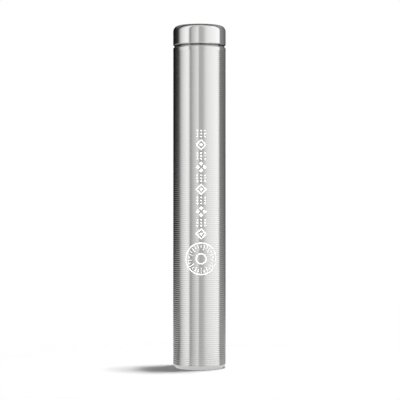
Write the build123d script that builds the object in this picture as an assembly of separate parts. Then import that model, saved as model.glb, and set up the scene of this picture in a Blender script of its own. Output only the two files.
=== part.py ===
from build123d import *

import os
from math import radians, sqrt, tan

# A round stainless steel capsule that keeps a message of letters inside it, as a cryptex does.
#
# The turned casing has a blind bore and fine grip grooves, and a screw cap with an O-ring closes its mouth.
# Inside hangs a core: a flatted spindle with letter rings that turn on it, clamped between the pull head at
# its top and a knurled lock nut at its foot. A keyed washer under each ring keeps it from dragging the next
# one round. The head's flange rests on a shoulder in the mouth, and the cap's gasket holds it down.
#
# Millimetres. The origin is the centre of the casing's foot, +Z runs up the axis and the front faces -Y.

# Casing
overall_length = 117.0
casing_diameter = 18.0
core_wall = 2.5  # steel between the core's bore and the outside
base_thickness = 3.0
foot_chamfer_height = 1.3
foot_chamfer_inset = 1.0
rim_chamfer_height = 0.75
rim_chamfer_inset = 0.6
mouth_lead_in = 0.25
groove_pitch = 0.7
groove_width = 0.4
groove_depth = 0.06
groove_free_band = 0.6  # smooth band between a chamfer and the first groove

# Cap
cap_height = 7.0
cap_edge_radius = 1.9
cap_skirt_chamfer = 0.5
cap_top_thickness = 2.0
spigot_wall = 1.5
seal_length = 2.6  # smooth stretch of the spigot and of the mouth, which the O-ring seals
cap_thread_length = 4.4
cap_thread_pitch = 1.0
thread_wall = 1.5  # steel between the cap's thread and the outside
seal_step = 0.1  # the sealing bore is this much wider than the thread, each side

# O-ring and gasket of the cap
o_ring_groove_width = 1.6
o_ring_groove_depth = 1.0
o_ring_side_gap = 0.15
gasket_thickness = 0.8
gasket_width = 1.3

# Core
ring_count = 24
spindle_diameter = 5.0
spindle_flats = 3.8
journal_diameter = 4.0  # spindle's end inside the pull head
flange_thickness = 1.2
knob_protrusion = 3.6  # pull head above the open mouth
knob_edge_radius = 1.0
grip_groove_radius = 1.2
head_pin_diameter = 1.5
thrust_washer_thickness = 0.5
bow_washer_thickness = 0.3
bow_washer_height = 1.0
clamp_washer_thickness = 0.8
spacer_thickness = 0.3
spacer_inset = 0.5  # how far a spacer's rim lies inside a ring's
nut_height = 4.6
nut_thread_pitch = 0.8
nut_thread_diameter = 5.0
nut_travel_room = 4.7  # free bore under the lock nut, so that it can be backed off
knurl_count = 36
knurl_depth = 0.35
coin_slot_width = 1.2
coin_slot_depth = 1.0

# Letter rings
letter_count = 26
ring_edge_chamfer = 0.15
notch_depth = 0.15  # of the notch between two letters

# Clearances
bore_clearance = 0.3  # letter rings in the bore
flange_clearance = 0.15
running_clearance = 0.1  # washers and rings on the spindle, spigot in the mouth
side_clearance = 0.02  # each face of a letter ring
thread_clearance = 0.05
seal_clearance = 0.02
pin_clearance = 0.01
pin_recess = 0.2  # the dowel's ends lie this far inside the knob
knob_clearance = 0.4
tip_recess = 0.2  # spindle's tip inside the nut's lower face

# Threads follow the 60 degree metric form
THREAD_DEPTH = 0.541  # times the pitch
THREAD_CREST = 0.125
THREAD_FLANK = tan(radians(30))
THREAD_OVERRUN = 0.05  # times the pitch, how far a cutter or a ridge reaches past the surface that it meets

# Sizes that follow
casing_radius = casing_diameter / 2
casing_length = overall_length - cap_height
bore_radius = casing_radius - core_wall
mouth_radius = casing_radius - thread_wall + seal_step
cap_thread_major = casing_radius - thread_wall
cap_thread_minor = cap_thread_major - THREAD_DEPTH * cap_thread_pitch
spigot_radius = cap_thread_minor - running_clearance
spigot_land_radius = mouth_radius - running_clearance
hollow_radius = spigot_radius - spigot_wall
spigot_length = seal_length + cap_thread_length
spigot_foot = casing_length - spigot_length
seal_foot = casing_length - seal_length
flange_top = spigot_foot - gasket_thickness
shoulder_height = flange_top - flange_thickness
flange_radius = cap_thread_minor - flange_clearance
knob_radius = hollow_radius - knob_clearance
knob_top = casing_length + knob_protrusion
ring_radius = bore_radius - bore_clearance
ring_hole_radius = spindle_diameter / 2 + running_clearance
stack_top = shoulder_height - thrust_washer_thickness
nut_foot = base_thickness + nut_travel_room
nut_top = nut_foot + nut_height
clamp_washer_top = nut_top + clamp_washer_thickness
stack_foot = clamp_washer_top + bow_washer_height
ring_pitch = (stack_top - stack_foot) / ring_count
spindle_tip = nut_foot + tip_recess
spindle_step = clamp_washer_top + bow_washer_thickness  # where the flatted rod ends and the thread begins
journal_radius = journal_diameter / 2
journal_top = (casing_length + knob_top) / 2
pin_height = (flange_top + casing_length) / 2
nut_radius = ring_radius
nut_thread_major = nut_thread_diameter / 2
nut_thread_minor = nut_thread_major - THREAD_DEPTH * nut_thread_pitch
washer_radius = ring_radius - bore_clearance


def cylinder(radius, low, high):
    """A solid cylinder on the axis, from one height to another."""
    return Pos(0, 0, low) * Cylinder(radius, high - low, align=(Align.CENTER, Align.CENTER, Align.MIN))


def tube(outer, inner, low, high):
    """A round sleeve on the axis."""
    return cylinder(outer, low, high) - cylinder(inner, low, high)


def turned(points):
    """The solid that a half outline of (radius, height) points makes when it turns about the axis."""
    outline = Polyline(*[(x, 0, z) for x, z in points], close=True)
    return revolve(make_face(outline), Axis.Z)


def helical_bar(inner, outer, inner_width, outer_width, pitch, low, high):
    """A right-hand helical bar for a thread, with its middle running from one height to another.

    Its turning angle is fixed by absolute height, so that mating threads are always in step.
    """
    path = Helix(pitch=pitch, height=high - low, radius=inner)
    section = make_face(
        Polyline(
            (inner, 0, -inner_width / 2),
            (outer, 0, -outer_width / 2),
            (outer, 0, outer_width / 2),
            (inner, 0, inner_width / 2),
            close=True,
        )
    )
    bar = sweep(section, path, is_frenet=True)
    return Pos(0, 0, low) * Rot(0, 0, 360 * low / pitch) * bar


def inside_thread(major, pitch, low, high):
    """What is cut from a bore of the minor radius to thread it."""
    overrun = THREAD_OVERRUN * pitch
    minor = major - THREAD_DEPTH * pitch
    floor_width = THREAD_CREST * pitch + 2 * thread_clearance
    mouth_width = floor_width + 2 * (major - minor + overrun) * THREAD_FLANK
    return helical_bar(minor - overrun, major, mouth_width, floor_width, pitch, low, high)


def outside_thread(major, pitch, low, high):
    """A threaded bar whose nut has this major radius. The thread is a ridge with blunt ends on a bar."""
    overrun = THREAD_OVERRUN * pitch
    crest = major - thread_clearance
    root = major - THREAD_DEPTH * pitch - running_clearance
    crest_width = THREAD_CREST * pitch
    foot_width = crest_width + 2 * (crest - root + overrun) * THREAD_FLANK
    half = pitch / 2
    ridge = helical_bar(root - overrun, crest, foot_width, crest_width, pitch, low + half, high - half)
    return cylinder(root, low, high) + ridge


def inside_ridge(major, pitch, low, high):
    """The ridge with blunt ends that threads a bore of the major radius, for a nut with a wide bore.

    It runs half a turn behind the ridge of the bar that screws into it.
    """
    overrun = THREAD_OVERRUN * pitch
    minor = major - THREAD_DEPTH * pitch
    foot_width = pitch - THREAD_CREST * pitch - 2 * thread_clearance
    crest_width = foot_width - 2 * (major - minor) * THREAD_FLANK
    buried_width = foot_width + 2 * overrun * THREAD_FLANK
    half = pitch / 2
    ridge = helical_bar(minor, major + overrun, crest_width, buried_width, pitch, low + half, high - half)
    return Rot(0, 0, 180) * ridge


def flatted(radius, flats, low, high):
    """A round bar with two flats, across Y."""
    return cylinder(radius, low, high) & Pos(0, 0, (low + high) / 2) * Box(3 * radius, flats, high - low)


def make_casing():
    first_groove = foot_chamfer_height + groove_free_band
    groove_zone = casing_length - rim_chamfer_height - groove_free_band - first_groove
    grooves = []
    for i in range(int(groove_zone / groove_pitch)):
        low = first_groove + i * groove_pitch
        grooves += [
            (casing_radius, low),
            (casing_radius - groove_depth, low + groove_width / 2),
            (casing_radius, low + groove_width),
        ]
    shell = turned(
        [
            (0, 0),
            (casing_radius - foot_chamfer_inset, 0),
            (casing_radius, foot_chamfer_height),
            *grooves,
            (casing_radius, casing_length - rim_chamfer_height),
            (casing_radius - rim_chamfer_inset, casing_length),
            (mouth_radius + mouth_lead_in, casing_length),
            (mouth_radius, casing_length - mouth_lead_in),
            (mouth_radius, seal_foot),
            (cap_thread_major, seal_foot),
            (cap_thread_major, spigot_foot),
            (cap_thread_minor, spigot_foot),
            (cap_thread_minor, shoulder_height),
            (bore_radius, shoulder_height),
            (bore_radius, base_thickness),
            (0, base_thickness),
        ]
    )
    return shell + inside_ridge(cap_thread_major, cap_thread_pitch, spigot_foot, seal_foot)


def make_cap():
    head = cylinder(casing_radius, casing_length, overall_length)
    head = fillet(head.edges().sort_by(Axis.Z)[-1], cap_edge_radius)
    head = chamfer(head.edges().sort_by(Axis.Z)[0], cap_skirt_chamfer)
    spigot = cylinder(spigot_land_radius, seal_foot + running_clearance, casing_length)
    spigot += outside_thread(cap_thread_major, cap_thread_pitch, spigot_foot, seal_foot + running_clearance)
    cap = head + spigot
    cap -= cylinder(hollow_radius, spigot_foot, overall_length - cap_top_thickness)
    return cap - o_ring_seat()


def o_ring_middle():
    """The height of the middle of the O-ring's groove."""
    return casing_length - (seal_length - running_clearance) / 2


def o_ring_seat():
    low = o_ring_middle() - o_ring_groove_width / 2
    floor_radius = spigot_land_radius - o_ring_groove_depth
    return tube(casing_radius, floor_radius, low, low + o_ring_groove_width)


def make_o_ring():
    """The O-ring as it sits squeezed between the floor of its groove and the wall of the mouth."""
    inner = spigot_land_radius - o_ring_groove_depth + seal_clearance
    outer = mouth_radius - seal_clearance
    width = o_ring_groove_width - 2 * o_ring_side_gap
    low = o_ring_middle() - width / 2
    ring = tube(outer, inner, low, low + width)
    corner = 0.45 * min(width, outer - inner)
    return fillet(ring.edges().filter_by(GeomType.CIRCLE), corner)


def make_gasket():
    """A flat silicone ring under the spigot, which presses on the pull head's flange."""
    outer = spigot_radius
    return tube(outer, outer - gasket_width, flange_top, spigot_foot)


def make_pull_head():
    """Flange and finger knob in one turned piece, bored from below for the spindle's journal."""
    head = cylinder(flange_radius, shoulder_height, flange_top)
    head += cylinder(knob_radius, flange_top, knob_top)
    head = fillet(head.edges().sort_by(Axis.Z)[-1], knob_edge_radius)
    waist = Pos(0, 0, casing_length) * Torus(knob_radius + grip_groove_radius / 2, grip_groove_radius)
    head -= waist
    head -= cylinder(journal_radius + pin_clearance, shoulder_height, journal_top)
    return head - cross_bar(head_pin_diameter / 2 + pin_clearance, 2 * knob_radius)


def cross_bar(radius, half_length):
    """A round bar across the knob and the spindle's journal."""
    return Pos(0, 0, pin_height) * Rot(90, 0, 0) * Cylinder(radius, 2 * half_length)


def make_head_pin():
    return cross_bar(head_pin_diameter / 2, knob_radius - pin_recess)


def make_spindle():
    spindle = flatted(spindle_diameter / 2, spindle_flats, spindle_step, shoulder_height)
    spindle += cylinder(journal_radius, shoulder_height, journal_top)
    spindle += outside_thread(nut_thread_major, nut_thread_pitch, spindle_tip, spindle_step)
    return spindle - cross_bar(head_pin_diameter / 2 + pin_clearance, 2 * knob_radius)


def keyed_hole(low, high):
    """The hole of a washer that slides on the flatted rod and can't turn on it."""
    return flatted(ring_hole_radius, spindle_flats + 2 * running_clearance, low, high)


def make_thrust_washer():
    return cylinder(washer_radius, stack_top, shoulder_height) - keyed_hole(stack_top, shoulder_height)


def make_bow_washer():
    """A curved spring washer: a flat ring bent about a line across it, so that its middle stands proud."""
    bow = bow_washer_height - bow_washer_thickness
    bend_radius = (washer_radius**2 + bow**2) / (2 * bow)
    sheet = Cylinder(bend_radius, 3 * washer_radius) - Cylinder(
        bend_radius - bow_washer_thickness, 3 * washer_radius
    )
    sheet = Pos(0, 0, stack_foot - bend_radius) * Rot(90, 0, 0) * sheet
    return sheet & tube(washer_radius, ring_hole_radius, clamp_washer_top, stack_foot)


def make_clamp_washer():
    hole = nut_thread_major + running_clearance
    return tube(washer_radius, hole, nut_top, clamp_washer_top)


def make_lock_nut():
    nut = cylinder(nut_radius, nut_foot, nut_top)
    nut = chamfer(nut.edges().filter_by(GeomType.CIRCLE), knurl_depth)
    tooth = Pos(nut_radius, 0, (nut_foot + nut_top) / 2) * Rot(0, 0, 45) * Box(
        knurl_depth * sqrt(2), knurl_depth * sqrt(2), nut_height
    )
    nut -= [Rot(0, 0, i * 360 / knurl_count) * tooth for i in range(knurl_count)]
    nut -= cylinder(nut_thread_minor, nut_foot, nut_top)
    tap_start = nut_foot - nut_thread_pitch
    tap_end = nut_top + nut_thread_pitch
    nut -= inside_thread(nut_thread_major, nut_thread_pitch, tap_start, tap_end)
    slot = Pos(0, 0, nut_foot + coin_slot_depth / 2) * Box(3 * nut_radius, coin_slot_width, coin_slot_depth)
    return nut - slot


def make_letter_ring():
    """The topmost ring. Notches across its rim part the letter places, and one place faces -Y."""
    high = stack_top - side_clearance
    low = stack_top - ring_pitch + spacer_thickness + side_clearance
    ring = cylinder(ring_radius, low, high)
    ring = chamfer(ring.edges().filter_by(GeomType.CIRCLE), ring_edge_chamfer)
    ring -= cylinder(ring_hole_radius, low, high)
    side = notch_depth * sqrt(2)
    notch = Pos(ring_radius, 0, (low + high) / 2) * Rot(0, 0, 45) * Box(side, side, ring_pitch)
    return ring - [Rot(0, 0, -90 + (i + 0.5) * 360 / letter_count) * notch for i in range(letter_count)]


def make_spacer():
    """The washer under the topmost ring."""
    low = stack_top - ring_pitch
    high = low + spacer_thickness
    return cylinder(ring_radius - spacer_inset, low, high) - keyed_hole(low, high)


def main():
    parts = {
        "casing": make_casing(),
        "cap": make_cap(),
        "cap_o_ring": make_o_ring(),
        "cap_gasket": make_gasket(),
        "pull_head": make_pull_head(),
        "head_pin": make_head_pin(),
        "spindle": make_spindle(),
        "thrust_washer": make_thrust_washer(),
        "bow_washer": make_bow_washer(),
        "clamp_washer": make_clamp_washer(),
        "lock_nut": make_lock_nut(),
    }
    places = [Pos(0, 0, -place * ring_pitch) for place in range(ring_count)]
    spacer = make_spacer()
    parts["spacer_washers"] = Compound(children=[place * spacer for place in places])
    letter_ring = make_letter_ring()
    for number, place in enumerate(places, 1):
        parts[f"letter_ring_{number:02d}"] = place * letter_ring
    os.makedirs("parts", exist_ok=True)
    for name, solid in parts.items():
        export_step(solid, f"parts/{name}.step")


main()
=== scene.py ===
from math import cos, pi, radians, sin, tau

import bmesh
import bpy
from mathutils import Matrix, Vector


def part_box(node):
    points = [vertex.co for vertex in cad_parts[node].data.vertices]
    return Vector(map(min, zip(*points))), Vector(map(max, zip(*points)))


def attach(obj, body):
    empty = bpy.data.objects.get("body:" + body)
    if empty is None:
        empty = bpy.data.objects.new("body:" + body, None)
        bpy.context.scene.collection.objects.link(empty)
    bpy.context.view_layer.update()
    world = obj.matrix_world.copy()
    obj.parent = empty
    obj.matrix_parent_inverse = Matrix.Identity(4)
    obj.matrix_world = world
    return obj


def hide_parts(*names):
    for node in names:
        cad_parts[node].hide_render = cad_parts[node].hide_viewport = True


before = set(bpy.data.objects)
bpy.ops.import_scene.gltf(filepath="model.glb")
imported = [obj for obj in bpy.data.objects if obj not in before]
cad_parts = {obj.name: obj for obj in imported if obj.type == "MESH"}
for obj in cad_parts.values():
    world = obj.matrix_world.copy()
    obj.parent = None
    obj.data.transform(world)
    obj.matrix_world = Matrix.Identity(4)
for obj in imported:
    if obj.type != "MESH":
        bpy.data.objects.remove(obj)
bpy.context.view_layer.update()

MM = 0.001


# CAMERA
# It stands at the height of the capsule's middle and far off, so that the sides stay upright.

camera = bpy.data.objects.new("camera", bpy.data.cameras.new("camera"))
bpy.context.scene.collection.objects.link(camera)
camera.location = Vector((0.2, -481, 57.4)) * MM
camera.rotation_euler = (radians(90), 0, 0)
camera.data.lens = 126.2
camera.data.clip_start = 10 * MM
camera.data.clip_end = 10
bpy.context.scene.camera = camera
bpy.context.scene.view_settings.view_transform = "Standard"


# STUDIO
# White all round to the eye. The steel mirrors soft boxes and dark flags that stand round it. Lamps high up on the
# right lay the shadow on the floor, and a low one in front lights the etched marks.

class Socket:
    """A value in a material. Arithmetic on it adds Math nodes."""

    def __init__(self, shader, output):
        self.shader = shader
        self.output = output

    def __add__(self, other):
        return self.shader.math("ADD", self, other)

    def __radd__(self, other):
        return self.shader.math("ADD", other, self)

    def __sub__(self, other):
        return self.shader.math("SUBTRACT", self, other)

    def __rsub__(self, other):
        return self.shader.math("SUBTRACT", other, self)

    def __mul__(self, other):
        return self.shader.math("MULTIPLY", self, other)

    def __rmul__(self, other):
        return self.shader.math("MULTIPLY", other, self)

    def __truediv__(self, other):
        return self.shader.math("DIVIDE", self, other)


class Shader:
    """The nodes of a material or of the world."""

    def __init__(self, owner):
        self.owner = owner
        owner.use_nodes = True
        self.tree = owner.node_tree
        self.tree.nodes.clear()

    def node(self, kind, values=(), output=0, stops=(), **settings):
        """Adds a node, with its settings first and then the values or links of its sockets."""
        made = self.tree.nodes.new(kind)
        for setting, value in settings.items():
            setattr(made, setting, value)
        for i, (place, tone) in enumerate(stops):
            if i >= 2:
                made.color_ramp.elements.new(1)
            made.color_ramp.elements[i].position = place
            made.color_ramp.elements[i].color = (tone, tone, tone, 1)
        for socket, value in values.items() if isinstance(values, dict) else enumerate(values):
            if isinstance(value, Socket):
                self.tree.links.new(value.output, made.inputs[socket])
            else:
                made.inputs[socket].default_value = value
        return Socket(self, made.outputs[output]) if made.outputs else None

    def math(self, operation, *values):
        return self.node("ShaderNodeMath", values, operation=operation)

    def split(self, vector):
        """The X, Y and Z of a vector."""
        first = self.node("ShaderNodeSeparateXYZ", [vector])
        return [Socket(self, output) for output in first.output.node.outputs]

    def step(self, value, low, high):
        """0 below low, 1 above high, and a soft step between them."""
        return self.node("ShaderNodeMapRange", {"Value": value, "From Min": low, "From Max": high},
                         interpolation_type="SMOOTHSTEP")


def box_light_bands():
    """What the steel mirrors, as (compass degrees from the camera's side, brightness), clockwise from behind."""
    return [
        (-180, 0.03), (-145, 0.01), (-110, 0.05), (-105, 0.14), (-99.5, 0.3), (-91.5, 0.8), (-74, 1.2),
        (-55, 1.42),
        (-48, 1.2), (-42.5, 0.36), (-39, 0.4), (-35.5, 0.64), (-9, 1.18), (-3.5, 1.02), (-0.5, 0.6), (17, 0.7),
        (24, 0.95), (31, 1.1), (38, 1.22), (90, 1.5), (98, 1.5), (101.5, 0.4), (145, 0.2), (160, 0.12),
        (180, 0.03),
    ]


world = bpy.data.worlds.new("studio")
bpy.context.scene.world = world
shader = Shader(world)
x, y, z = shader.split(shader.node("ShaderNodeTexCoord", output="Generated"))
compass = shader.math("ARCTAN2", x, y * -1) / tau + 0.5
peak = 2.0
boxes = shader.node("ShaderNodeValToRGB", [compass],
                    stops=[(degree / 360 + 0.5, level / peak) for degree, level in box_light_bands()])
ceiling = shader.step(z, 0.75, 0.9)
ceiling_light = (0.9 - 0.8 * shader.step(y, -0.2, 0.25)) / peak
boxes = boxes + shader.step(y, 0.3, 0.7) * shader.step(z, 0.35, 0.55) * (0.24 / peak)
light = boxes * (1 - ceiling) + ceiling * ceiling_light
seen = shader.node("ShaderNodeLightPath", output="Is Camera Ray")
spilled = shader.node("ShaderNodeLightPath", output="Diffuse Depth")
light = light * (1 - seen) * (1 - shader.step(spilled, 0, 1)) + seen * (1 / peak)
background = shader.node("ShaderNodeBackground", {"Color": light, "Strength": peak})
shader.node("ShaderNodeOutputWorld", [background])
world.cycles_visibility.diffuse = False


def lamp(name, place, aim, width, depth, watts):
    """A soft lamp that the steel doesn't mirror."""
    light = bpy.data.lights.new(name, "AREA")
    light.shape = "RECTANGLE"
    light.size = width * MM
    light.size_y = depth * MM
    light.energy = watts
    lamp_object = bpy.data.objects.new(name, light)
    bpy.context.scene.collection.objects.link(lamp_object)
    lamp_object.location = Vector(place) * MM
    lamp_object.rotation_euler = (Vector(aim) - Vector(place)).to_track_quat("-Z", "Y").to_euler()
    lamp_object.visible_camera = False
    lamp_object.visible_glossy = False


lamp("shadow_lamp", place=(62, 26, 600), aim=(62, 26, 0), width=86, depth=50, watts=2.5)
lamp("near_lamp", place=(44, 20, 600), aim=(44, 20, 0), width=18, depth=45, watts=1.1)
lamp("contact_lamp", place=(-10, 14, 600), aim=(-10, 14, 0), width=45, depth=45, watts=0.35)
lamp("fill_lamp", place=(0, 0, 700), aim=(0, 0, 0), width=1400, depth=1400, watts=1.0)
lamp("front_lamp", place=(-60, -420, 25), aim=(0, 0, 60), width=200, depth=50, watts=2.2)

floor_radius = 600
bm = bmesh.new()
bmesh.ops.create_circle(bm, cap_ends=True, segments=96, radius=floor_radius * MM)
floor_mesh = bpy.data.meshes.new("floor")
bm.to_mesh(floor_mesh)
bm.free()
floor = bpy.data.objects.new("floor", floor_mesh)
bpy.context.scene.collection.objects.link(floor)
paper = bpy.data.materials.new("paper")
shader = Shader(paper)
spot = shader.node("ShaderNodeTexCoord", output="Object")
reach = shader.node("ShaderNodeVectorMath", [spot], output=1, operation="LENGTH")
reach = reach / (floor_radius * MM)
grain = shader.node("ShaderNodeTexNoise", {"Scale": 900.0, "Detail": 3.0})
white = shader.node("ShaderNodeMix", {0: grain, 6: (0.84, 0.84, 0.84, 1), 7: (0.87, 0.87, 0.87, 1)},
                    output=2, data_type="RGBA")
# In what the steel mirrors, the floor is a glow that stands in for lit paper. A dimmer ring a little way out from
# the foot is a painted shadow.
glow = shader.node("ShaderNodeValToRGB", [reach], stops=[
    (0.017, 0.88), (0.03, 0.5), (0.09, 0.66), (0.15, 0.64), (0.22, 0.49), (0.28, 0.38), (0.34, 0.32),
    (0.51, 0.17), (0.63, 0.1), (0.76, 0.05), (1, 0),
])
east, north, _ = shader.split(spot)
compass = shader.math("ABSOLUTE", shader.math("ARCTAN2", east, north * -1)) / pi
flank = shader.step(compass, 0.5, 0.57)
ahead = 0.3 * shader.step(reach, 0.3, 0.15) + 0.7 * shader.step(reach, 0.03, 0.018)
cover = flank + (1 - flank) * ahead
mirrored = shader.node("ShaderNodeLightPath", output="Is Glossy Ray")
clear = shader.node("ShaderNodeBsdfTransparent")
above = 1 - shader.node("ShaderNodeNewGeometry", output="Backfacing")
lit = shader.node("ShaderNodeMixShader", [
    shader.step(reach, 0.15, 0.08) * above, clear, shader.node("ShaderNodeBsdfDiffuse", {"Color": white}),
])
glowing = shader.node("ShaderNodeMixShader", [cover, clear, shader.node("ShaderNodeEmission", {"Color": glow})])
shader.node("ShaderNodeOutputMaterial", [shader.node("ShaderNodeMixShader", [mirrored, lit, glowing])])
floor_mesh.materials.append(paper)


# CASING
# A round bar of stainless steel, turned outside and bored blind from its top. A fine V tool cuts the grip grooves.
# The mouth has a plain bore for the O-ring, and under it the inside thread for the cap.

TURNS = 128  # flats round a turned piece


def turn(outline, steps=TURNS):
    """A mesh of (radius, height) points in millimetres, turned about the axis."""
    bm = bmesh.new()
    points = [bm.verts.new((radius * MM, 0, height * MM)) for radius, height in outline]
    lines = [bm.edges.new(pair) for pair in zip(points, points[1:] + points[:1])]
    bmesh.ops.spin(bm, geom=points + lines, axis=(0, 0, 1), cent=(0, 0, 0), steps=steps, angle=tau, use_merge=True)
    bmesh.ops.remove_doubles(bm, verts=bm.verts, dist=0.001 * MM)
    bmesh.ops.recalc_face_normals(bm, faces=bm.faces)
    return bm


def soften(bm, radius, height, width, segments=3):
    """Bevels the ring of edges at this radius and height."""
    def on_ring(vert):
        return abs(vert.co.xy.length - radius * MM) < 0.003 * MM and abs(vert.co.z - height * MM) < 0.003 * MM

    ring = [edge for edge in bm.edges if all(on_ring(vert) for vert in edge.verts)]
    bmesh.ops.bevel(bm, geom=ring, offset=width * MM, offset_type="OFFSET", affect="EDGES", segments=segments,
                    profile=0.5, material=-1)


def thread_ridge(bm, inner, outer, inner_width, outer_width, pitch, low, high, turned=0.0):
    """Adds a right-hand helical ridge with blunt ends. Its middle runs from low to high.

    Turned by half a turn, an inside thread's ridge lies between the ridges of the outside thread.
    """
    steps = round(TURNS / 2 * (high - low) / pitch)
    ridge = bmesh.new()
    corners = [(inner, -inner_width / 2), (outer, -outer_width / 2),
               (outer, outer_width / 2), (inner, inner_width / 2)]
    blunt_end = ridge.faces.new([
        ridge.verts.new((radius * MM, 0, (low + height) * MM)) for radius, height in corners
    ])
    bmesh.ops.rotate(ridge, verts=ridge.verts, matrix=Matrix.Rotation(tau * low / pitch + turned, 3, "Z"))
    bmesh.ops.spin(ridge, geom=ridge.verts[:] + ridge.edges[:] + [blunt_end], axis=(0, 0, 1), cent=(0, 0, 0),
                   steps=steps, angle=tau * (high - low) / pitch, dvec=(0, 0, (high - low) / steps * MM))
    bmesh.ops.recalc_face_normals(ridge, faces=ridge.faces)
    mesh = bpy.data.meshes.new("ridge")
    ridge.to_mesh(mesh)
    ridge.free()
    bm.from_mesh(mesh)
    bpy.data.meshes.remove(mesh)


def finished(bm, name, finish, body, replaced=(), crease=12):
    """Makes the piece, with smooth faces up to the crease angle, and fixes it to its body."""
    mesh = bpy.data.meshes.new(name)
    bm.to_mesh(mesh)
    bm.free()
    mesh.shade_smooth()
    mesh.set_sharp_from_angle(angle=radians(crease))
    mesh.materials.append(finish)
    piece = bpy.data.objects.new(name, mesh)
    bpy.context.scene.collection.objects.link(piece)
    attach(piece, body)
    if replaced:
        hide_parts(*replaced)
    return piece


def turned_steel(name, tone, roughness, brushing, tool_lines, painted_seam_shades=()):
    """Stainless steel off the lathe. Fine tool lines run round it, so it spreads what it mirrors up and down.

    Each (low, high) stretch of the height in the seam list, in millimetres, is painted near black as painted shade
    in a seam.
    """
    steel = bpy.data.materials.new(name)
    shader = Shader(steel)
    place = shader.node("ShaderNodeTexCoord", output="Object")
    round_lines = shader.node("ShaderNodeVectorMath", [place, (150, 150, 9000)], operation="MULTIPLY")
    lines = shader.node("ShaderNodeTexNoise", {"Vector": round_lines, "Scale": 1.0, "Detail": 2.0})
    blotches = shader.node("ShaderNodeTexNoise", {"Vector": place, "Scale": 90.0, "Detail": 3.0})
    wear = shader.node("ShaderNodeTexNoise", {"Vector": place, "Scale": 700.0, "Detail": 4.0, "Roughness": 0.7})
    dark, pale = [(*[shade * c for c in tone], 1) for shade in (0.97, 1.03)]
    colour = shader.node("ShaderNodeMix", {0: lines, 6: dark, 7: pale}, output=2, data_type="RGBA")
    height_up = shader.split(place)[2] / MM
    # Painted shade: each seam stretch is darkened towards near black.
    for low, high in painted_seam_shades:
        painted_shade = shader.step(height_up, low - 0.05, low + 0.05)
        painted_shade = painted_shade * (1 - shader.step(height_up, high - 0.05, high + 0.05))
        colour = shader.node("ShaderNodeMix", {0: painted_shade * 0.93, 6: colour, 7: (0.03, 0.03, 0.03, 1)}, output=2,
                             data_type="RGBA")
    rough = roughness + (lines - 0.5) * 0.03 + (blotches - 0.5) * 0.04 + (wear - 0.5) * 0.02
    height = lines * tool_lines + wear * (0.15 * tool_lines)
    bump = shader.node("ShaderNodeBump", {"Strength": 0.5, "Distance": 0.004 * MM, "Height": height})
    surface = shader.node("ShaderNodeBsdfPrincipled", {
        "Base Color": colour, "Metallic": 1.0, "Roughness": rough, "Anisotropic": brushing,
        "Anisotropic Rotation": 0.25, "Normal": bump,
    })
    shader.node("ShaderNodeOutputMaterial", [surface])
    return steel


casing_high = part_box("casing")[1]
casing_radius = casing_high.x / MM
casing_top = casing_high.z / MM
foot_chamfer = (1.0, 1.3)  # inset and height
rim_chamfer = (0.6, 0.75)
groove_pitch = 0.7
groove_width = 0.4
groove_depth = 0.06
groove_count = 152
first_groove = 1.9
bore_radius = 6.5
bore_foot = 3.0
shoulder = 101.0
thread_minor = 6.959
thread_major = 7.5
thread_foot = 103.0
cap_pitch = 1.0
seal_foot = casing_top - 2.6
mouth_radius = 7.6
mouth_chamfer = 0.25
inside_crest_width = 0.151
inside_root_width = 0.833
root_overrun = 0.05  # how far a ridge's root lies inside the solid that it grows from

outline = [(0, 0), (casing_radius - foot_chamfer[0], 0), (casing_radius, foot_chamfer[1])]
for i in range(groove_count):
    low = first_groove + i * groove_pitch
    outline += [(casing_radius, low), (casing_radius - groove_depth, low + groove_width / 2),
                (casing_radius, low + groove_width)]
outline += [
    (casing_radius, casing_top - rim_chamfer[1]), (casing_radius - rim_chamfer[0], casing_top),
    (mouth_radius + mouth_chamfer, casing_top), (mouth_radius, casing_top - mouth_chamfer),
    (mouth_radius, seal_foot),
    (thread_major, seal_foot), (thread_major, thread_foot), (thread_minor, thread_foot), (thread_minor, shoulder),
    (bore_radius, shoulder), (bore_radius, bore_foot), (0, bore_foot),
]
bm = turn(outline)
thread_ridge(bm, thread_minor, thread_major + root_overrun, inside_crest_width, inside_root_width, cap_pitch,
             thread_foot + cap_pitch / 2, seal_foot - cap_pitch / 2, turned=pi)
casing_steel = turned_steel("casing_steel", (0.62, 0.62, 0.615), roughness=0.2, brushing=1.0, tool_lines=0.2)
finished(bm, "casing_body", casing_steel, "casing", ["casing"])


# CAP
# Turned from the same bar and left smooth. Its spigot carries the O-ring's groove and the outside thread.

cap_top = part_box("cap")[1].z / MM
edge_radius = 1.9
skirt_chamfer = 0.5
spigot_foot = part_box("cap")[0].z / MM
thread_root = 6.859
thread_crest = 7.45
land_foot = 107.5
hollow_radius = 5.359
ring_groove = (107.95, 109.55)
ring_groove_floor = 6.5
outside_root_width = 0.864
outside_crest_width = 0.125
cap_wall = 2

bm = turn([
    (0, cap_top), (casing_radius, cap_top), (casing_radius, casing_top + skirt_chamfer),
    (casing_radius - skirt_chamfer, casing_top), (thread_major, casing_top), (thread_major, ring_groove[1]),
    (ring_groove_floor, ring_groove[1]), (ring_groove_floor, ring_groove[0]), (thread_major, ring_groove[0]),
    (thread_major, land_foot), (thread_root, land_foot), (thread_root, spigot_foot), (hollow_radius, spigot_foot),
    (hollow_radius, cap_top - cap_wall), (0, cap_top - cap_wall),
])
soften(bm, casing_radius, cap_top, edge_radius, segments=20)
soften(bm, thread_root, spigot_foot, 0.15, segments=2)
soften(bm, thread_major, ring_groove[0], 0.06, segments=2)
soften(bm, thread_major, ring_groove[1], 0.06, segments=2)
thread_ridge(bm, thread_root - root_overrun, thread_crest, outside_root_width, outside_crest_width, cap_pitch,
             spigot_foot + cap_pitch / 2, land_foot - cap_pitch / 2)
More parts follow.
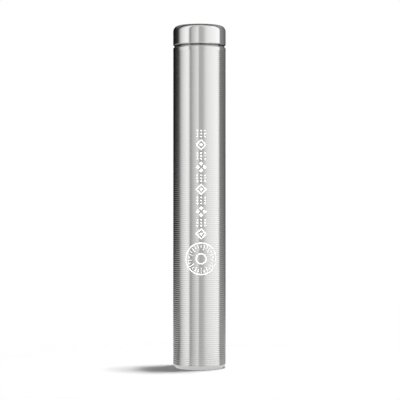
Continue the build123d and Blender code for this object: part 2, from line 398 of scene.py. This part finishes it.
# The cap's lower chamfer, just above the casing's rim, gets a near black band of painted shade in the seam.
cap_steel = turned_steel("cap_steel", (0.64, 0.64, 0.635), roughness=0.15, brushing=0.75, tool_lines=0.1,
                         painted_seam_shades=[(casing_top, casing_top + 0.22)])
finished(bm, "cap_body", cap_steel, "cap", ["cap"])


# O-RING AND GASKET
# Two seals of black silicone rubber. One sits in the spigot's groove and the other lies flat under the spigot.

def silicone_rubber():
    rubber = bpy.data.materials.new("silicone")
    shader = Shader(rubber)
    place = shader.node("ShaderNodeTexCoord", output="Object")
    dust = shader.node("ShaderNodeTexNoise", {"Vector": place, "Scale": 600.0, "Detail": 5.0, "Roughness": 0.65})
    speck = shader.step(dust, 0.55, 0.75)
    black = shader.node("ShaderNodeMix", {0: speck, 6: (0.018, 0.018, 0.019, 1), 7: (0.05, 0.049, 0.047, 1)},
                        output=2, data_type="RGBA")
    bump = shader.node("ShaderNodeBump", {"Strength": 0.4, "Distance": 0.02 * MM, "Height": dust})
    surface = shader.node("ShaderNodeBsdfPrincipled", {
        "Base Color": black, "Roughness": 0.42 + 0.25 * dust, "Normal": bump, "IOR": 1.43,
    })
    shader.node("ShaderNodeOutputMaterial", [surface])
    return rubber


silicone = silicone_rubber()

for node, inner, corner, segments in (("cap_o_ring", 6.52, 0.47, 6), ("cap_gasket", 5.559, 0.12, 3)):
    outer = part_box(node)[1].x / MM
    low, high = [end.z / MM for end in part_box(node)]
    bm = turn([(inner, low), (outer, low), (outer, high), (inner, high)])
    for radius in (inner, outer):
        for height in (low, high):
            soften(bm, radius, height, corner, segments)
    finished(bm, node + "_rubber", silicone, "cap_link", [node], crease=30)


# PULL HEAD, PIN AND SPINDLE
# The head is turned in one piece with its flange. A dowel through its knob holds it on the spindle, a ground bar
# with two flats and a thread at its foot.

def smooth_copy(node):
    """A copy of a machined piece with its corners merged, so that its round faces shade smoothly."""
    bm = bmesh.new()
    bm.from_mesh(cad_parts[node].data)
    bmesh.ops.remove_doubles(bm, verts=bm.verts, dist=0.001 * MM)
    return bm


core_steel = turned_steel("core_steel", (0.58, 0.58, 0.575), roughness=0.24, brushing=0.7, tool_lines=0.6)
pin_steel = turned_steel("pin_steel", (0.5, 0.5, 0.495), roughness=0.3, brushing=0.2, tool_lines=0.3)
for node, finish in (("pull_head", core_steel), ("head_pin", pin_steel), ("spindle", core_steel)):
    finished(smooth_copy(node), node + "_body", finish, "core", [node], crease=25)


# WASHERS
# Punched from stainless sheet. The keyed ones slide on the spindle's flats, and the bow washer is spring steel.

washer_steel = turned_steel("washer_steel", (0.55, 0.55, 0.545), roughness=0.34, brushing=0.2, tool_lines=0.3)
spring_steel = turned_steel("spring_steel", (0.34, 0.33, 0.31), roughness=0.3, brushing=0.3, tool_lines=0.5)
for node, finish, body, slot in (
    ("thrust_washer", washer_steel, "core", "washer_steel"),
    ("spacer_washers", washer_steel, "core", "washer_steel"),
    ("clamp_washer", washer_steel, "nut_link", "washer_steel"),
    ("bow_washer", spring_steel, "nut_link", "spring_steel"),
):
    finished(smooth_copy(node), node + "_sheet", finish, body, [node], crease=25)


# LETTER RINGS
# Each is parted off a turned bar. A notch across the rim divides its 26 places, and every place has a letter in
# black enamel. The order of the letters differs from ring to ring.

PLACES = 26
STEPS_PER_PLACE = 8
notch_depth = 0.15
ring_chamfer = 0.15
ring_hole = 2.6
letter_height = 1.6
letter_width = 1.05  # at most, so that it stays clear of the notches
letter_relief = 0.02
font_depth = 0.01  # how far a letter is extruded each way before it gets its relief

ring_low, ring_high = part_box("letter_ring_01")
ring_radius = 6.2
ring_foot = ring_low.z / MM
ring_top = ring_high.z / MM


def ring_blank():
    """The topmost ring, with a letter place and not a notch at the front."""
    bm = turn([
        (ring_hole, ring_foot), (ring_radius - ring_chamfer, ring_foot), (ring_radius, ring_foot + ring_chamfer),
        (ring_radius, ring_top - ring_chamfer), (ring_radius - ring_chamfer, ring_top), (ring_hole, ring_top),
    ], steps=PLACES * STEPS_PER_PLACE)
    front = Matrix.Rotation(radians(-90) + tau / PLACES / 2, 4, "Z")
    bmesh.ops.transform(bm, matrix=front, verts=bm.verts)
    for i in range(PLACES):
        angle = radians(-90) + (i + 0.5) * tau / PLACES
        out = Vector((cos(angle), sin(angle), 0))
        bottom = [v for v in bm.verts if v.co.xy.length > 5 * MM and v.co.xy.normalized().dot(out.xy) > 0.99999]
        for vert in bottom:
            vert.co -= out * max(0, vert.co.xy.length - (ring_radius - notch_depth) * MM)
    return bm


def letter_shapes():
    """The 26 capitals as thin solids in millimetres. Each is centred, and a wide one is made narrower to fit."""
    shapes = []
    for letter in "ABCDEFGHIJKLMNOPQRSTUVWXYZ":
        curve = bpy.data.curves.new("letter", "FONT")
        curve.body = letter
        curve.resolution_u = 2
        curve.extrude = font_depth
        text = bpy.data.objects.new("letter", curve)
        mesh = bpy.data.meshes.new_from_object(text)
        bpy.data.objects.remove(text)
        bpy.data.curves.remove(curve)
        across = [vert.co.x for vert in mesh.vertices]
        upward = [vert.co.y for vert in mesh.vertices]
        grow = letter_height / (max(upward) - min(upward))
        widen = min(grow, letter_width / (max(across) - min(across)))
        for vert in mesh.vertices:
            vert.co = ((vert.co.x - (max(across) + min(across)) / 2) * widen,
                       (vert.co.y - (max(upward) + min(upward)) / 2) * grow,
                       vert.co.z / font_depth * letter_relief)
        shapes.append(mesh)
    return shapes


def wrap(bm, verts, radius, angle, height):
    """Rolls flat verts round the axis: X goes round it, Y goes up and Z goes out. Angle 0 faces front."""
    for vert in verts:
        turned = angle + vert.co.x / radius
        out = radius + vert.co.z
        vert.co = Vector((out * sin(turned), -out * cos(turned), height + vert.co.y)) * MM


def black_enamel():
    enamel = bpy.data.materials.new("letter_enamel")
    shader = Shader(enamel)
    place = shader.node("ShaderNodeTexCoord", output="Object")
    grain = shader.node("ShaderNodeTexNoise", {"Vector": place, "Scale": 2500.0, "Detail": 2.0})
    black = shader.node("ShaderNodeMix", {0: grain, 6: (0.012, 0.012, 0.013, 1), 7: (0.035, 0.034, 0.033, 1)},
                        output=2, data_type="RGBA")
    surface = shader.node("ShaderNodeBsdfPrincipled", {"Base Color": black, "Roughness": 0.35 + 0.2 * grain})
    shader.node("ShaderNodeOutputMaterial", [surface])
    return enamel


ring_steel = turned_steel("ring_steel", (0.6, 0.6, 0.595), roughness=0.26, brushing=0.75, tool_lines=0.6)
enamel = black_enamel()
blank = ring_blank()
blank_mesh = bpy.data.meshes.new("ring_blank")
blank.to_mesh(blank_mesh)
blank.free()
letters = letter_shapes()

for number in range(1, 25):
    node = f"letter_ring_{number:02d}"
    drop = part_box(node)[1].z - ring_high.z
    bm = bmesh.new()
    bm.from_mesh(blank_mesh)
    bmesh.ops.translate(bm, verts=bm.verts, vec=(0, 0, drop))
    for place in range(PLACES):
        letter = letters[(place * (7, 11, 5)[number % 3] + number * 9) % PLACES]
        first_vert, first_face = len(bm.verts), len(bm.faces)
        bm.from_mesh(letter)
        bm.verts.ensure_lookup_table()
        bm.faces.ensure_lookup_table()
        shape = bm.verts[first_vert:]
        middle = (ring_foot + ring_top) / 2 + drop / MM
        wrap(bm, shape, ring_radius, place * tau / PLACES, middle)
        for face in bm.faces[first_face:]:
            face.material_index = 1
    piece = finished(bm, node + "_dial", ring_steel, f"ring_{number:02d}", [node])
    piece.data.materials.append(enamel)

for mesh in [blank_mesh, *letters]:
    bpy.data.meshes.remove(mesh)


# LOCK NUT
# Turned and knurled, with a slot for a coin. It clamps the washers and rings on the spindle.

nut_steel = turned_steel("nut_steel", (0.56, 0.56, 0.555), roughness=0.28, brushing=0.4, tool_lines=0.5)
finished(smooth_copy("lock_nut"), "lock_nut_body", nut_steel, "nut", ["lock_nut"], crease=25)


# ETCHED MARKS
# A column of small figures and a dial, laser etched into the casing's front and left frosted white. They stand for
# nothing and carry no letters.

mark_stroke = 0.42
mark_relief = 0.006
column_foot = 46.0
column_pitch = 3.75
column_shift = 0.6
dial_height = 37.6
dial_radius = 5.5
hub_radius = 1.9
tick_width = 0.24
diamond_radius = 1.95
diamond_stroke = 0.45
diamond_core = 0.95
leaf = 1.05
leaf_spread = 1.15
dot = 0.55
dots_across = (-1.3, 0, 1.3)
dots_up = (-1.0, 0, 1.0)


def flat_ring(bm, sides, radius, stroke, centre, turned=0.0):
    """A flat outline of a regular figure."""
    circles = []
    for size in (radius, radius - stroke / cos(pi / sides)):
        made = bmesh.ops.create_circle(bm, segments=sides, radius=size, matrix=Matrix.Rotation(turned, 4, "Z"))
        circles += list({edge for vert in made["verts"] for edge in vert.link_edges})
    bmesh.ops.translate(bm, verts=list({v for e in circles for v in e.verts}), vec=(*centre, 0))
    bmesh.ops.bridge_loops(bm, edges=circles)


def flat_bar(bm, width, height, centre, turned=0.0):
    """A flat rectangle."""
    placing = Matrix.Translation((*centre, 0)) @ Matrix.Rotation(turned, 4, "Z")
    placing = placing @ Matrix.Diagonal((width, height, 1, 1))
    bmesh.ops.create_grid(bm, x_segments=1, y_segments=1, size=0.5, matrix=placing)


def etched_white():
    white = bpy.data.materials.new("etched_white")
    shader = Shader(white)
    place = shader.node("ShaderNodeTexCoord", output="Object")
    frost = shader.node("ShaderNodeTexNoise", {"Vector": place, "Scale": 3000.0, "Detail": 3.0})
    pale = shader.node("ShaderNodeMix", {0: frost, 6: (0.88, 0.88, 0.88, 1), 7: (0.97, 0.97, 0.97, 1)},
                       output=2, data_type="RGBA")
    bump = shader.node("ShaderNodeBump", {"Strength": 0.3, "Distance": 0.01 * MM, "Height": frost})
    surface = shader.node("ShaderNodeBsdfPrincipled", {
        "Base Color": pale, "Roughness": 0.6 + 0.3 * frost, "Normal": bump, "Specular IOR Level": 0.2,
    })
    shader.node("ShaderNodeOutputMaterial", [surface])
    return white


bm = bmesh.new()
for i in range(10):
    middle = column_foot + i * column_pitch
    if i % 4 == 0:
        flat_ring(bm, 4, diamond_radius, diamond_stroke, (column_shift, middle))
        flat_bar(bm, diamond_core, diamond_core, (column_shift, middle), radians(45))
    elif i % 4 == 2:
        for side, rise in ((-leaf_spread, 0), (leaf_spread, 0), (0, -leaf_spread), (0, leaf_spread)):
            flat_bar(bm, leaf, leaf, (column_shift + side, middle + rise), radians(45))
    else:
        for side in dots_across:
            for rise in dots_up:
                flat_bar(bm, dot, dot, (column_shift + side, middle + rise), radians(45))
flat_ring(bm, 96, dial_radius, mark_stroke, (column_shift, dial_height))
flat_ring(bm, 48, hub_radius, mark_stroke, (column_shift, dial_height))
for i in range(PLACES):
    angle = i * tau / PLACES
    length = 1.7 if i % 2 else 1.0
    reach = dial_radius - mark_stroke - 0.35 - length / 2
    spot = (column_shift + reach * sin(angle), dial_height + reach * cos(angle))
    flat_bar(bm, tick_width, length, spot, -angle)
bmesh.ops.subdivide_edges(bm, edges=[e for e in bm.edges if e.calc_length() > 0.9], cuts=3, use_grid_fill=True)
raised = bmesh.ops.extrude_face_region(bm, geom=bm.faces[:], use_keep_orig=True)["geom"]
raised = [part for part in raised if isinstance(part, bmesh.types.BMVert)]
bmesh.ops.translate(bm, verts=raised, vec=(0, 0, mark_relief * 3))
bmesh.ops.translate(bm, verts=bm.verts, vec=(0, 0, -mark_relief * 2))
wrap(bm, bm.verts, casing_radius, 0, 0)
bmesh.ops.recalc_face_normals(bm, faces=bm.faces)
etched = etched_white()
finished(bm, "etched_marks", etched, "casing")
